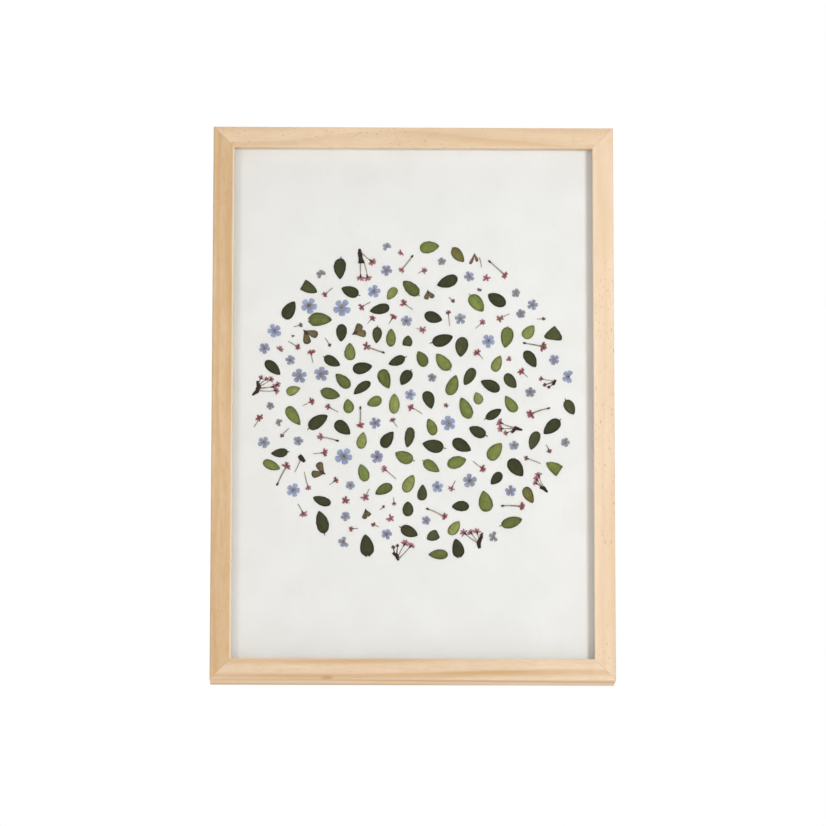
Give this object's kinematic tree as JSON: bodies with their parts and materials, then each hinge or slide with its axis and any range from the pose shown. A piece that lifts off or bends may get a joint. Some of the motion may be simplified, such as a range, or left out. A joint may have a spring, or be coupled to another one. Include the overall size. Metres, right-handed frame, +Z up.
{
  "type": "pressed flower frame",
  "caption": "Slim pine wall frame with a glass pane over a white sheet, on which pressed leaves and small dried flowers are scattered in a round field.",
  "frame": {"origin": "the wall hook's point: root of the hanger's middle notch, in the plane of the frame's back", "axes": "+Z up as it hangs, +Y towards the wall, glass facing -Y, +X to the right as seen from the front"},
  "size_m": [0.221, 0.024, 0.308],
  "materials": {
    "pine": "clear matt oil on planed pine",
    "glass": "clear float glass",
    "paper": "uncoated white paper with a fine tooth",
    "board": "bare fibreboard",
    "steel": "zinc plated",
    "leaf": "pressed and dried leaf, matt"
  },
  "bodies": {
    "root": {"top_rail": "pine", "bottom_rail": "pine", "left_stile": "pine", "right_stile": "pine", "glass_pane": "glass", "flower_sheet": "paper", "backing_board": "board", "sawtooth_hanger": "steel", "hanger_rivet_left": "steel", "hanger_rivet_right": "steel", "tab_top": "steel", "tab_bottom": "steel", "tab_left_lower": "steel", "tab_left_upper": "steel", "tab_right_upper": "steel", "tab_right_lower": "steel", "leaf_01": "leaf", "leaf_02": "leaf", "leaf_03": "leaf", "leaf_04": "leaf", "leaf_05": "leaf", "leaf_06": "leaf", "leaf_07": "leaf", "leaf_08": "leaf", "leaf_09": "leaf", "leaf_10": "leaf", "leaf_11": "leaf", "leaf_12": "leaf", "leaf_13": "leaf", "leaf_14": "leaf", "leaf_15": "leaf", "leaf_16": "leaf", "leaf_17": "leaf", "leaf_18": "leaf", "leaf_19": "leaf", "leaf_20": "leaf", "leaf_21": "leaf", "leaf_22": "leaf", "leaf_23": "leaf", "leaf_24": "leaf", "leaf_25": "leaf", "leaf_26": "leaf", "leaf_27": "leaf", "leaf_28": "leaf", "leaf_29": "leaf", "leaf_30": "leaf", "leaf_31": "leaf", "leaf_32": "leaf", "leaf_33": "leaf", "leaf_34": "leaf", "leaf_35": "leaf", "leaf_36": "leaf", "leaf_37": "leaf", "leaf_38": "leaf", "leaf_39": "leaf", "leaf_40": "leaf", "leaf_41": "leaf", "leaf_42": "leaf", "leaf_43": "leaf", "leaf_44": "leaf"}
  },
  "joints": []
}
